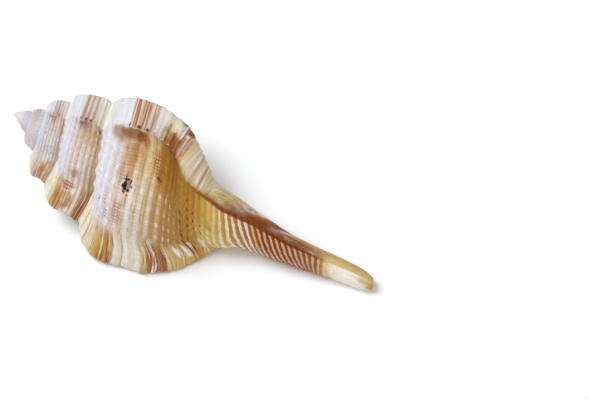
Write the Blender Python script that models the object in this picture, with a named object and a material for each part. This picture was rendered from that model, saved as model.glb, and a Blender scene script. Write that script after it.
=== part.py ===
"""A spindle-shaped sea shell with a long siphonal canal and two rows of flared ribs (varices).

The skin of the shell is a sheet of growth lines that turns round the axis from the tip of the spire
to the outer lip. A place on it is given by its turn (0 at the lip, -1 one whorl earlier) and its cord
(0 at the upper seam of a whorl, 9 at the lower seam, 18 at the neck, 40 at the end of the canal).
The sheet is laid out in the growth frame, in millimetres: X along the axis from the tip of the spire,
+Y towards the older varix, +Z out of the back. It is then turned to lie at rest on its mouth side.
"""

import math

import bmesh
import bpy
from mathutils import Euler, Vector

# Overall size, in millimetres and turns
LENGTH = 80.0
TURNS = 5
LIP_SEAM_X = 22.9
LIP_BODY_RADIUS = 12.6
PITCH_GROWTH = 1.76
RADIUS_GROWTH = 1.65
EARLY_WHORLS = (-2, -3.6)
EARLY_WIDENING = 0.6
STRAIGHT_SIDED_WHORLS = (-2.0, -3.4)
STRAIGHT_SIDED = 0.75
NECK_X_AT_LIP = 49.4
NECK_X_PER_TURN = 12.8
CANAL_RIBS_END_X = 70.0

# Spiral cords, counted from the upper seam of a whorl towards the canal
WHORL_CORDS = 9
BASE_CORDS = 9
CANAL_CORDS = 19
PLAIN_CORDS = 3
NECK_CORD = WHORL_CORDS + BASE_CORDS
LAST_RIB_CORD = NECK_CORD + CANAL_CORDS
TIP_CORD = LAST_RIB_CORD + PLAIN_CORDS
ROWS_PER_CORD = 2

# Half a turn of growth, from one varix to the next, as shares of a turn
HALF_TURN = 0.5
FACE_END = 0.014
BEADS_START = 0.03
BEAD_SPACING = 0.05
BEADS = 8
FLARE_REACH = 0.045
LINES_UP_TO_VARIX = (0.452, 0.47, 0.486)
CANAL_RIBS_FADE = 0.42

# Varices and relief, in millimetres at the lip
VARIX_HEIGHT = 5.5
VARIX_CLIMB = 1.4
VARIX_HALF_GROWN_AT = -2.6
VARIX_GROWTH_RATE = 3.0
EARLIER_VARICES_END = -1.75
LOWER_AT_UPPER_SEAM = 0.45
CORD_HEIGHT = 0.36
CORD_HEIGHT_ON_VARIX = 0.42
BEAD_HEIGHT = 0.36
CANAL_RIB_HEIGHT = 0.32
CREASE_DEPTH = 0.6
CREASE_STARTS_AT_CORDS = (12, 16)
CREASE_ENDS_AT_CORDS = (40, 34)

# Form of a growth line by cord
WHORL_RADIUS = ((0, 0.56), (1.35, 0.76), (2.7, 0.92), (4.5, 1.0), (6.75, 0.99), (9, 0.92))
WHORL_ADVANCE = ((0, 0), (1.35, 0.06), (2.7, 0.19), (4.5, 0.42), (6.75, 0.72), (9, 1))
BASE_TAPER = ((9, 1), (11.25, 0.76), (13.5, 0.43), (15.75, 0.17), (18, 0))
FLARE_IN_LIP_ROW = (
    (0, 1.1), (1.35, 0.91), (2.7, 0.98), (4.5, 1.05), (6.75, 1.02), (9, 1.16),
    (11.25, 1.05), (13.5, 1.01), (15.75, 0.66), (18, 0.14), (21, 0.03), (24, 0),
)
FLARE_IN_OLDER_ROW = (
    (0, 1.0), (1.35, 0.82), (2.7, 0.8), (4.5, 0.89), (6.75, 1.01), (9, 1.1),
    (11.25, 1.14), (13.5, 0.99), (15.75, 0.67), (18, 0.18), (21, 0.08), (24, 0),
)
CREASE_DEGREES = ((0, 5), (9, 5), (11.5, 26), (14, 49), (17.6, 54), (21, 62), (30, 67), (40, 78))
LIP_DEGREES = ((0, 180), (12, 180), (14, 183), (16, 192), (18, 210), (20, 228), (23, 238), (40, 240))
INNER_LIP_DEGREES = ((0, 180), (9, 180), (10, 172), (12, 150), (15, 118), (18, 98), (40, 93))

# Neck and lower seam by turn
NECK_RADIUS = ((-1, 3.4), (-0.5, 5.3), (0, 4.7))
LOWER_SEAM_RADIUS = ((-0.5, 0.92), (0, 0.82))

# Canal by distance along the axis
CANAL_OFFSET = ((46, 0), (50, 0.7), (53, 1.3), (60, 1.5), (65, 1.95), (70, 2.55), (75, 3.1), (80, 3.4))
CANAL_HALF_WIDTH = (
    (46, 5.7), (49.4, 5.2), (53, 4.1), (56, 3.7), (60, 3.15), (70, 2.45), (78, 1.9), (80, 1.2),
)
CANAL_HALF_DEPTH = ((46, 4.6), (49.4, 4.1), (53, 3.2), (60, 2.4), (70, 1.9), (78, 1.5), (80, 1))
CANAL_STARTS_AT_CORD = 12
CANAL_FULL_AT_CORD = 19
GROOVE_DEPTH_SHARE = 0.8
TIP_SLANT = 0.4

# Hollow behind the mouth. Its middle is a share of the way from seam to neck and of the body's radius.
MOUTH_RINGS = ((0.0, 0.35), (-0.02, 0.75), (-0.06, 1))
CAVITY_END = -0.66
CAVITY_STEP = 0.05
CAVITY_SCALE_TO_SPIRE = 0.82
CAVITY_SCALE_TO_CANAL = 0.66
CAVITY_SCALE_RADIAL = 0.8
CAVITY_MIDDLE_TO_NECK = 0.4
CAVITY_MIDDLE_RADIUS = 0.64
HEAD_OF_GROOVE_RADIUS = 3.6

# Pose at rest: rolled on to the lip, in degrees
REST_ROLL = 22.3
REST_PITCH = 8.8

MOST_TRIANGLES = 9600


def curve(knots, at):
    """Smooth line through (position, value) knots, held level outside them and without overshoot."""
    if at <= knots[0][0]:
        return knots[0][1]
    if at >= knots[-1][0]:
        return knots[-1][1]
    last = len(knots) - 1
    i = max(k for k in range(last) if knots[k][0] <= at)
    slopes = [(b[1] - a[1]) / (b[0] - a[0]) for a, b in zip(knots, knots[1:])]

    def tangent(j):
        if j in (0, last):
            return slopes[min(j, last - 1)]
        before, after = slopes[j - 1], slopes[j]
        return 0 if before * after <= 0 else 2 * before * after / (before + after)

    width = knots[i + 1][0] - knots[i][0]
    t = (at - knots[i][0]) / width
    ends = knots[i][1] * (1 + 2 * t) * (1 - t) ** 2 + knots[i + 1][1] * t * t * (3 - 2 * t)
    return ends + width * (tangent(i) * t * (1 - t) ** 2 - tangent(i + 1) * t * t * (1 - t))


def step(low, high, at):
    """Smooth rise from 0 at low to 1 at high."""
    t = min(max((at - low) / (high - low), 0), 1)
    return t * t * (3 - 2 * t)


def body_radius(turn):
    return LIP_BODY_RADIUS * RADIUS_GROWTH**turn * (1 + EARLY_WIDENING * step(*EARLY_WHORLS, turn))


def flare(turn):
    """How far the wall is flared: 1 on the crest of a varix, 0 between varices."""
    s = turn % HALF_TURN
    rise = math.exp(-(((HALF_TURN - s) / FLARE_REACH) ** 1.5))
    return max(rise, 1 - step(0, FACE_END, s))


def flare_height(turn, cord):
    grown = 1 / (1 + math.exp(VARIX_GROWTH_RATE * (VARIX_HALF_GROWN_AT - turn)))
    in_lip_row = round(turn / HALF_TURN) % 2 == 0
    profile = FLARE_IN_LIP_ROW if in_lip_row else FLARE_IN_OLDER_ROW
    if turn < EARLIER_VARICES_END:
        grown *= 1 - LOWER_AT_UPPER_SEAM * step(WHORL_CORDS / 2, 0, cord)
    return VARIX_HEIGHT * grown * curve(profile, cord) * flare(turn)


def seam_x(turn):
    """Where the upper seam lies along the axis. It climbs towards the spire on each varix."""
    return (LIP_SEAM_X - VARIX_CLIMB * flare(turn)) * PITCH_GROWTH**turn


def neck_x(turn):
    return NECK_X_AT_LIP + NECK_X_PER_TURN * turn


def axial(turn, cord):
    upper = seam_x(turn)
    lower = seam_x(turn + 1)
    neck = neck_x(turn)
    if cord <= WHORL_CORDS:
        return upper + (lower - upper) * curve(WHORL_ADVANCE, cord)
    if cord <= NECK_CORD:
        return lower + (neck - lower) * (cord - WHORL_CORDS) / BASE_CORDS
    if cord <= LAST_RIB_CORD:
        return neck + (CANAL_RIBS_END_X - neck) * (cord - NECK_CORD) / CANAL_CORDS
    return CANAL_RIBS_END_X + (LENGTH - CANAL_RIBS_END_X) * (cord - LAST_RIB_CORD) / PLAIN_CORDS


def radial(turn, cord):
    """Distance of the wall from the axis, without flare or relief."""
    if cord <= WHORL_CORDS:
        seam_change = curve(LOWER_SEAM_RADIUS, turn) - WHORL_RADIUS[-1][1]
        seam_above = WHORL_RADIUS[-1][1] * body_radius(turn - 1) / body_radius(turn) - WHORL_RADIUS[0][1]
        rounded = curve(WHORL_RADIUS, cord)
        upper, lower = WHORL_RADIUS[0][1], WHORL_RADIUS[-1][1]
        straight = upper + (lower - upper) * curve(WHORL_ADVANCE, cord)
        share = rounded + (straight - rounded) * STRAIGHT_SIDED * step(*STRAIGHT_SIDED_WHORLS, turn)
        share += seam_change * step(WHORL_CORDS / 2, WHORL_CORDS, cord)
        share += seam_above * step(WHORL_CORDS / 2, 0, cord)
        return body_radius(turn) * share
    neck = curve(NECK_RADIUS, turn)
    return neck + (radial(turn, WHORL_CORDS) - neck) * curve(BASE_TAPER, cord)


def angle(turn, cord):
    """Angle round the axis in radians: 0 at the older varix, 90 degrees on the back, 180 at the lip."""
    s = turn + HALF_TURN
    if turn < -1:
        return math.tau * s
    if turn <= -HALF_TURN:
        return math.radians(curve(INNER_LIP_DEGREES, cord)) * s / HALF_TURN
    crease = math.radians(curve(CREASE_DEGREES, cord))
    lip = math.radians(curve(LIP_DEGREES, cord))
    if s <= FACE_END:
        return crease * s / FACE_END
    if turn <= 0:
        return crease + (lip - crease) * (s - FACE_END) / (HALF_TURN - FACE_END)
    return lip + math.tau * turn


def relief(turn, cord):
    """Height of the cords, beads and canal ribs, less the depth of the crease along the canal."""
    s = turn % HALF_TURN
    wave = 0.5 - 0.5 * math.cos(math.tau * cord)
    if cord > LAST_RIB_CORD:
        raised = 0
    elif cord > NECK_CORD:
        between_rims = step(FACE_END, BEADS_START, s) * step(HALF_TURN, CANAL_RIBS_FADE, s)
        raised = CANAL_RIB_HEIGHT * wave * between_rims
    else:
        beaded = BEADS_START <= s <= BEADS_START + BEADS * BEAD_SPACING
        bead = 0.5 - 0.5 * math.cos(math.tau * (s - BEADS_START) / BEAD_SPACING) if beaded else 0
        cord_height = CORD_HEIGHT + (CORD_HEIGHT_ON_VARIX - CORD_HEIGHT) * flare(turn)
        raised = wave * (cord_height + BEAD_HEIGHT * bead) * RADIUS_GROWTH**turn
    in_crease = max(0, 1 - abs(turn + HALF_TURN - FACE_END) / FACE_END)
    along_canal = step(*CREASE_STARTS_AT_CORDS, cord) * step(*CREASE_ENDS_AT_CORDS, cord)
    return raised - CREASE_DEPTH * in_crease * along_canal


def skin_point(turn, cord):
    if cord == 0:
        return skin_point(turn - 1, WHORL_CORDS) if turn > 1 - TURNS else wall_point(turn, cord)
    return wall_point(turn, cord)


def wall_point(turn, cord):
    phi = angle(turn, cord)
    x = axial(turn, cord)
    raised = flare_height(turn, cord) + relief(turn, cord)
    r = radial(turn, cord) + raised
    on_whorl = Vector((x, r * math.cos(phi), r * math.sin(phi)))
    across = (curve(CANAL_HALF_WIDTH, x) + raised) * math.cos(phi)
    z = (curve(CANAL_HALF_DEPTH, x) + raised) * math.sin(phi)
    slanted_x = x - TIP_SLANT * across * step(LAST_RIB_CORD - 1, TIP_CORD, cord)
    on_canal = Vector((slanted_x, curve(CANAL_OFFSET, x) + across, z))
    return on_whorl.lerp(on_canal, step(CANAL_STARTS_AT_CORD, CANAL_FULL_AT_CORD, cord))


def cavity_point(turn, x, r):
    """A place on the whorl section at a turn, drawn in towards the middle of the section."""
    middle_x = seam_x(turn) + CAVITY_MIDDLE_TO_NECK * (neck_x(turn) - seam_x(turn))
    middle_r = CAVITY_MIDDLE_RADIUS * body_radius(turn)
    scale = CAVITY_SCALE_TO_CANAL if x > middle_x else CAVITY_SCALE_TO_SPIRE
    x = middle_x + scale * (x - middle_x)
    r = middle_r + CAVITY_SCALE_RADIAL * (r - middle_r)
    phi = math.tau * (turn + HALF_TURN)
    return Vector((x, r * math.cos(phi), r * math.sin(phi)))


def half_turn_columns():
    beads = [BEADS_START + k * BEAD_SPACING / 2 for k in range(2 * BEADS + 1)]
    return [0, FACE_END / 2, FACE_END, *beads, *LINES_UP_TO_VARIX]


def strip(mesh, first, second):
    """Quads between two rows of points with the same count."""
    for a, b, c, d in zip(first, first[1:], second[1:], second):
        corners = list(dict.fromkeys((a, b, c, d)))
        if len(corners) > 2:
            mesh.faces.new(corners)


def zip_rows(mesh, first, second):
    """Triangles between two rows of points with different counts, taking the nearer next point."""
    i = j = 0
    while i < len(first) - 1 or j < len(second) - 1:
        ahead = i < len(first) - 1 and (j == len(second) - 1 or first[i + 1].co.x < second[j + 1].co.x)
        if ahead:
            mesh.faces.new((first[i], first[i + 1], second[j]))
            i += 1
        else:
            mesh.faces.new((first[i], second[j + 1], second[j]))
            j += 1


def make_skin(mesh):
    """The sheet of growth lines. Gives the lip, the inner lip and the end row of the canal."""
    half = half_turn_columns()
    per_turn = 2 * len(half)
    rows = [k / ROWS_PER_CORD for k in range(LAST_RIB_CORD * ROWS_PER_CORD + 1)]
    rows += [LAST_RIB_CORD + k for k in range(1, PLAIN_CORDS + 1)]
    seam_row = WHORL_CORDS * ROWS_PER_CORD
    turns = [k * HALF_TURN + s for k in range(-2 * TURNS, 0) for s in half]
    turns += [0, FACE_END / 2, FACE_END]
    count = len(turns)
    mouth = count - per_turn - 1
    grid = [[None] * len(rows) for _ in turns]
    for i, turn in enumerate(turns):
        for j, cord in enumerate(rows[: seam_row + 1] if i < mouth else rows):
            if j == 0 and i >= per_turn:
                grid[i][0] = grid[i - per_turn][seam_row]
            else:
                grid[i][j] = mesh.verts.new(skin_point(turn, cord))
    for i in range(count - 1):
        low = seam_row if i < mouth else len(rows) - 1
        strip(mesh, grid[i][: low + 1], grid[i + 1][: low + 1])
    apex = mesh.verts.new((0, 0, 0))
    first_seam = [grid[i][0] for i in range(per_turn + 1)]
    start = grid[0][: seam_row + 1][::-1]
    loop = first_seam + start[1:-1]
    for a, b in zip(loop, loop[1:] + loop[:1]):
        mesh.faces.new((a, apex, b))
    lip = grid[-1]
    inner_lip = grid[mouth][seam_row:]
    return lip, inner_lip, [grid[i][-1] for i in range(mouth, count)], rows


def make_mouth(mesh, lip, inner_lip, canal_end, rows):
    """The groove of the canal, its end, and the hollow that winds up from the mouth."""
    neck_row = NECK_CORD * ROWS_PER_CORD
    groove = []
    for point in lip[neck_row:]:
        x = point.co.x
        depth = curve(CANAL_HALF_DEPTH, x)
        groove.append(mesh.verts.new((x, curve(CANAL_OFFSET, x), depth * (GROOVE_DEPTH_SHARE - 1))))
    strip(mesh, lip[neck_row:], groove)
    meets = max(k for k, point in enumerate(inner_lip) if point.co.x <= groove[0].co.x)
    zip_rows(mesh, groove, inner_lip[meets:])
    end_loop = canal_end + [groove[-1]]
    middle = sum((point.co for point in canal_end), Vector()) / len(canal_end)
    end = mesh.verts.new(middle)
    for a, b in zip(end_loop, end_loop[1:] + end_loop[:1]):
        mesh.faces.new((a, b, end))

    ring = lip[: neck_row + 1] + [groove[0]] + inner_lip[1 : meets + 1][::-1]
    sections = [(0, cord) for cord in rows[: neck_row + 1]] + [None]
    seam_row = WHORL_CORDS * ROWS_PER_CORD
    sections += [(-1, cord) for cord in rows[seam_row + 1 : seam_row + meets + 1][::-1]]

    def section_point(turn, place):
        if place is None:
            return cavity_point(turn, neck_x(turn), HEAD_OF_GROOVE_RADIUS)
        earlier, cord = place
        return cavity_point(turn, axial(turn + earlier, cord), radial(turn + earlier, cord))

    mouth_points = [point.co.copy() for point in ring]
    steps = list(MOUTH_RINGS)
    turn = MOUTH_RINGS[-1][0] - CAVITY_STEP
    while turn > CAVITY_END:
        steps.append((turn, 1))
        turn -= CAVITY_STEP
    for turn, inward in steps:
        inner = []
        for at_mouth, place in zip(mouth_points, sections):
            inner.append(mesh.verts.new(at_mouth.lerp(section_point(turn, place), inward)))
        strip(mesh, ring + ring[:1], inner + inner[:1])
        ring = inner
    back = mesh.verts.new(sum((point.co for point in ring), Vector()) / len(ring))
    for a, b in zip(ring, ring[1:] + ring[:1]):
        mesh.faces.new((a, b, back))


def lay_at_rest(mesh):
    """Turns the growth frame to the pose at rest, sets the origin at the floor and scales to metres."""
    turned = Euler((math.radians(REST_ROLL), math.radians(REST_PITCH), 0)).to_matrix().to_4x4()
    bmesh.ops.transform(mesh, matrix=turned, verts=mesh.verts)
    low = Vector([min(v.co[k] for v in mesh.verts) for k in range(3)])
    high = Vector([max(v.co[k] for v in mesh.verts) for k in range(3)])
    middle = (low + high) / 2
    for vert in mesh.verts:
        vert.co = (vert.co - Vector((middle.x, middle.y, low.z))) / 1000


def shell_material():
    material = bpy.data.materials.new("porcellaneous shell")
    material.use_nodes = True
    surface = material.node_tree.nodes["Principled BSDF"]
    surface.inputs["Base Color"].default_value = (0.62, 0.42, 0.25, 1)
    surface.inputs["Roughness"].default_value = 0.42
    surface.inputs["Metallic"].default_value = 0
    return material


def make_shell():
    mesh = bmesh.new()
    lip, inner_lip, canal_end, rows = make_skin(mesh)
    make_mouth(mesh, lip, inner_lip, canal_end, rows)
    bmesh.ops.recalc_face_normals(mesh, faces=mesh.faces)
    lay_at_rest(mesh)
    data = bpy.data.meshes.new("shell")
    mesh.to_mesh(data)
    mesh.free()
    shell = bpy.data.objects.new("shell", data)
    bpy.context.scene.collection.objects.link(shell)
    shell.data.materials.append(shell_material())
    data.calc_loop_triangles()
    thin = shell.modifiers.new("fewer facets", "DECIMATE")
    thin.ratio = min(1, MOST_TRIANGLES / len(data.loop_triangles))
    thin.use_collapse_triangulate = True


for old in list(bpy.data.objects):
    bpy.data.objects.remove(old)
make_shell()
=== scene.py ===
"""A murex-like sea shell with a long siphonal canal and two rows of flared varices, laid mouth down."""

import math

import bpy
import numpy as np
from mathutils import Euler, Matrix, Vector


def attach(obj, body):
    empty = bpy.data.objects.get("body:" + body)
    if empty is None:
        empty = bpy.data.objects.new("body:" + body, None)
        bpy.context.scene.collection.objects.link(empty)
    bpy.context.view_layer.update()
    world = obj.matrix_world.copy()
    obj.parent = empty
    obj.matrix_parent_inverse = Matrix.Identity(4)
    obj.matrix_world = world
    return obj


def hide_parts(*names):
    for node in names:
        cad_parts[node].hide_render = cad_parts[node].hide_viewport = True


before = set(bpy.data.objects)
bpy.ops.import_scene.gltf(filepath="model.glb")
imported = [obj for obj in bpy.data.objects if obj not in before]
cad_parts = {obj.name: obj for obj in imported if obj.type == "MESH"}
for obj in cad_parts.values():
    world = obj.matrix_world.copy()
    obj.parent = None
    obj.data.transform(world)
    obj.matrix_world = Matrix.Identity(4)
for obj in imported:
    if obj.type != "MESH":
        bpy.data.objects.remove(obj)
bpy.ops.object.select_all(action="DESELECT")
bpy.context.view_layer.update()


# SHELL, FORM. The real piece is one hollow tube of aragonite that a sea snail grows round an axis, a
# growth line at a time, and stops every half turn to build a flared rib, the varix. It is one grown
# wall with no joints, so the mesh is one sheet of growth lines, laid by the law of its growth.

# Millimetres, in the growth frame: X from the tip of the spire, +Y to the older varix, +Z out of the back.
# A turn is a whorl of growth, 0 at the outer lip. Cords are counted from the upper seam of a whorl:
# 9 is the lower seam, 18 the neck, 37 the last rib of the canal and 40 its end.
SEAM_CORD = 9
NECK_CORD = 18
LAST_RIB_CORD = 37
TIP_CORD = 40

# Size at the lip, growth of each measure per whorl, and how the whorls of the spire differ.
LENGTH = 80.0
TURNS = 5
LIP_SEAM_X = 22.9
LIP_BODY_RADIUS = 12.6
PITCH_GROWTH = 1.76
RADIUS_GROWTH = 1.65
RELIEF_GROWTH = 1.45
EARLY_WHORLS = (-2, -3.6)
EARLY_WIDENING = 0.6
STRAIGHT_SIDED_WHORLS = (-2.0, -3.4)
STRAIGHT_SIDED = 0.75
NECK_X_AT_LIP = 49.4
NECK_X_PER_TURN = 12.8
CANAL_RIBS_END_X = 70.0

# Half a turn of growth, from one varix to the next, as shares of a turn: the steep face of the varix,
# the beads and scallops, then the flare up to the next varix.
HALF_TURN = 0.5
FACE_END = 0.014
BEADS_START = 0.03
BEADS_RISE = (0.016, 0.04)
BEADS_FADE = (0.47, 0.41)
BEAD_SPACING = 0.05
SCALLOP_SPACING = 0.077
FLARE_STARTS = 0.42
FLARE_REACH = 0.045

# The varices, then the relief. Rest marks are faint swells along the growth lines, each kind with its
# height, its number to a turn, and the depth, rate and start of its wander across the cords.
VARIX_HEIGHT = 5.5
VARIX_CLIMB = 1.4
VARIX_HALF_GROWN_AT = -2.6
VARIX_GROWTH_RATE = 3.0
EARLIER_VARICES_END = -1.75
LOWER_AT_UPPER_SEAM = 0.45
CORD_HEIGHT = 0.19
CORD_HEIGHT_ON_VARIX = 0.24
CORD_SHARPNESS = 1.3
FINE_CORDS_PER_CORD = 3
FINE_CORD_HEIGHT = 0.05
BEAD_HEIGHT = 0.24
BEAD_SHARPNESS = 1.5
SEAM_SCALLOP = 0.40
SCALLOPS_END_AT_CORD = 1.5
SCALLOPS_START_AT_CORD = 7.5
CANAL_RIB_HEIGHT = 0.30
CANAL_RIBS_BEHIND_LIP = 0.5
CREASE_DEPTH = 0.6
CREASE_STARTS_AT_CORDS = (12, 16)
CREASE_ENDS_AT_CORDS = (40, 34)
REST_MARKS = ((0.035, 23.0, 1.7, 0.35, 0), (0.03, 41.3, 2.1, 0.27, 1))
REST_MARKS_OFF_SEAM = 0.6
REST_MARKS_END_AT_CORDS = (36, 33)
COVERED_BY_LAST_WHORL = -0.98
BASE_CORDS_START_AT_TURNS = (-0.985, -0.93)

# The form of a growth line by cord, the angles round the axis at which the last whorl starts at the
# crease and ends at the lip, and the neck, the lower seam and the canal.
WHORL_RADIUS = ((0, 0.56), (1.35, 0.76), (2.7, 0.92), (4.5, 1.0), (6.75, 0.99), (9, 0.92))
WHORL_ADVANCE = ((0, 0), (1.35, 0.06), (2.7, 0.19), (4.5, 0.42), (6.75, 0.72), (9, 1))
BASE_TAPER = ((9, 1), (11.25, 0.76), (13.5, 0.43), (15.75, 0.17), (18, 0))
FLARE_IN_LIP_ROW = (
    (0, 1.1), (1.35, 0.91), (2.7, 0.98), (4.5, 1.05), (6.75, 1.02), (9, 1.16),
    (11.25, 1.05), (13.5, 1.01), (15.75, 0.66), (18, 0.14), (21, 0.03), (24, 0),
)
FLARE_IN_OLDER_ROW = (
    (0, 1.0), (1.35, 0.82), (2.7, 0.8), (4.5, 0.89), (6.75, 1.01), (9, 1.1),
    (11.25, 1.14), (13.5, 0.99), (15.75, 0.67), (18, 0.18), (21, 0.08), (24, 0),
)
CREASE_DEGREES = (
    (0, 14), (2, 21), (3.8, 28), (5.8, 20), (8, 14), (9, 14), (10, 21), (11.5, 35), (14, 52),
    (17.6, 56), (21, 62), (30, 67), (40, 78),
)
LIP_DEGREES = ((0, 180), (12, 180), (14, 183), (16, 192), (18, 210), (20, 228), (23, 238), (40, 240))
INNER_LIP_DEGREES = ((0, 180), (9, 180), (10, 172), (12, 150), (15, 118), (18, 98), (40, 93))
NECK_RADIUS = ((-1, 3.4), (-0.5, 5.3), (0, 4.7))
LOWER_SEAM_RADIUS = ((-0.5, 0.92), (0, 0.82))
CANAL_STARTS_AT_CORDS = (12, 19)
CANAL_OFFSET = (
    (46, 0), (50, 0.7), (53, 1.3), (60, 1.5), (65, 1.95), (70, 2.55), (75, 3.1), (80, 3.4),
)
CANAL_HALF_WIDTH = (
    (46, 5.7), (49.4, 5.2), (53, 4.1), (56, 3.7), (60, 3.15), (70, 2.45), (78, 1.9), (80, 1.2),
)
CANAL_HALF_DEPTH = (
    (46, 4.6), (49.4, 4.1), (53, 3.2), (60, 2.4), (70, 1.9), (78, 1.5), (80, 1),
)
TIP_SLANT = 0.4
GROOVE_DEPTH_SHARE = 0.8

# The cords fan out on the crest of a varix and stand this many cords further down there, from a share
# of a turn that depends on the cord. The ribs of the canal slant all the way along a half turn.
FAN_IN_LIP_ROW = (
    (0, 0), (2, 0.5), (3.5, 1.1), (5.5, 1.4), (7, 2.0), (8.2, 2.7), (9.5, 3.2), (12, 3.2),
    (13.5, 2.6), (16, 0.6), (18, 0), (40, 0),
)
FAN_IN_OLDER_ROW = ((0, 0), (5, 0.1), (7, 0.5), (10, 1.4), (12, 1.6), (14, 1.0), (18, 0), (40, 0))
FAN_ON_SPIRE = ((0, 0), (2.5, 0.4), (4.5, 0.6), (7, 0.4), (9, 0), (40, 0))
FAN_STARTS = ((0, 0.42), (9, 0.42), (12, 0.395), (18, 0.38), (40, 0.4))
SPIRE_FAN_ENDS = -0.8
RIB_SLANT = ((0, 0), (15, 0), (18, 1.2), (23, 4.6), (30, 4.8), (36, 1.6), (40, 0))

# The pose at rest, rolled on to the lip, in degrees, and where the tip of the spire lies in it.
REST_ROLL = 22.3
REST_PITCH = 8.8
SPIRE_TIP_AT_REST = (-39.842, 1.468)


def curve(knots, at):
    """Smooth line through (position, value) knots, held level outside them and without overshoot."""
    place, value = np.array(knots, float).T
    slope = np.diff(value) / np.diff(place)
    before, after = slope[:-1], slope[1:]
    bends = before * after <= 0
    inner = np.where(bends, 0, 2 * before * after / np.where(bends, 1, before + after))
    tangent = np.concatenate([slope[:1], inner, slope[-1:]])
    at = np.clip(at, place[0], place[-1])
    i = np.clip(np.searchsorted(place, at, side="right") - 1, 0, len(slope) - 1)
    width = place[i + 1] - place[i]
    t = (at - place[i]) / width
    ends = value[i] * (1 + 2 * t) * (1 - t) ** 2 + value[i + 1] * t * t * (3 - 2 * t)
    return ends + width * (tangent[i] * t * (1 - t) ** 2 - tangent[i + 1] * t * t * (1 - t))


def step(low, high, at):
    """Smooth rise from 0 at low to 1 at high."""
    t = np.clip((at - low) / (high - low), 0, 1)
    return t * t * (3 - 2 * t)


def wave(at):
    """Rounded ridges, one for each unit, with their tops half way between the units."""
    return 0.5 - 0.5 * np.cos(math.tau * at)


def body_radius(turn):
    return LIP_BODY_RADIUS * RADIUS_GROWTH**turn * (1 + EARLY_WIDENING * step(*EARLY_WHORLS, turn))


def flare(turn):
    """How far the wall is flared: 1 on the crest of a varix, 0 between varices."""
    s = turn % HALF_TURN
    rise = np.exp(-(((HALF_TURN - s) / FLARE_REACH) ** 1.5))
    return np.maximum(rise, 1 - step(0, FACE_END, s))


def flare_height(turn, cord):
    grown = 1 / (1 + np.exp(VARIX_GROWTH_RATE * (VARIX_HALF_GROWN_AT - turn)))
    in_lip_row = np.round(turn / HALF_TURN) % 2 == 0
    row = np.where(in_lip_row, curve(FLARE_IN_LIP_ROW, cord), curve(FLARE_IN_OLDER_ROW, cord))
    lower = LOWER_AT_UPPER_SEAM * step(SEAM_CORD / 2, 0, cord) * (turn < EARLIER_VARICES_END)
    return VARIX_HEIGHT * grown * (1 - lower) * row * flare(turn)


def seam_x(turn):
    """Where the upper seam lies along the axis. It climbs towards the spire on each varix."""
    return (LIP_SEAM_X - VARIX_CLIMB * flare(turn)) * PITCH_GROWTH**turn


def between_varices(turn):
    """1 where the beads of a half turn stand, falling to 0 at the varices."""
    s = turn % HALF_TURN
    return step(*BEADS_RISE, s) * step(*BEADS_FADE, s)


def scallop(turn):
    """How far the upper seam swings towards the spire in its scallops."""
    swing = wave((turn % HALF_TURN - BEADS_START) / SCALLOP_SPACING)
    return SEAM_SCALLOP * swing * between_varices(turn) * PITCH_GROWTH**turn


def neck_x(turn):
    return NECK_X_AT_LIP + NECK_X_PER_TURN * turn


def axial(turn, cord):
    """Distance along the axis, with both seams of a whorl swung by their scallops."""
    upper, lower, neck = seam_x(turn), seam_x(turn + 1), neck_x(turn)
    on_whorl = upper + (lower - upper) * curve(WHORL_ADVANCE, cord)
    on_whorl = on_whorl - scallop(turn) * step(SCALLOPS_END_AT_CORD, 0, cord)
    lower_scallop = scallop(turn + 1) * step(SCALLOPS_START_AT_CORD, SEAM_CORD, cord)
    on_whorl = on_whorl - np.where(turn < -1, lower_scallop, 0)
    on_base = lower + (neck - lower) * (cord - SEAM_CORD) / (NECK_CORD - SEAM_CORD)
    on_canal = neck + (CANAL_RIBS_END_X - neck) * (cord - NECK_CORD) / (LAST_RIB_CORD - NECK_CORD)
    plain_length = LENGTH - CANAL_RIBS_END_X
    plain = CANAL_RIBS_END_X + plain_length * (cord - LAST_RIB_CORD) / (TIP_CORD - LAST_RIB_CORD)
    return np.select(
        [cord <= SEAM_CORD, cord <= NECK_CORD, cord <= LAST_RIB_CORD], [on_whorl, on_base, on_canal], plain
    )


def radial(turn, cord):
    """Distance of the wall from the axis, without flare or relief."""
    on_whorl = np.minimum(cord, SEAM_CORD)
    upper, lower = WHORL_RADIUS[0][1], WHORL_RADIUS[-1][1]
    seam_change = curve(LOWER_SEAM_RADIUS, turn) - lower
    seam_above = lower * body_radius(turn - 1) / body_radius(turn) - upper
    rounded = curve(WHORL_RADIUS, on_whorl)
    straight = upper + (lower - upper) * curve(WHORL_ADVANCE, on_whorl)
    share = rounded + (straight - rounded) * STRAIGHT_SIDED * step(*STRAIGHT_SIDED_WHORLS, turn)
    share = share + seam_change * step(SEAM_CORD / 2, SEAM_CORD, on_whorl)
    share = share + seam_above * step(SEAM_CORD / 2, 0, on_whorl)
    whorl = body_radius(turn) * share
    neck = curve(NECK_RADIUS, turn)
    return np.where(cord <= SEAM_CORD, whorl, neck + (whorl - neck) * curve(BASE_TAPER, cord))


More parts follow.
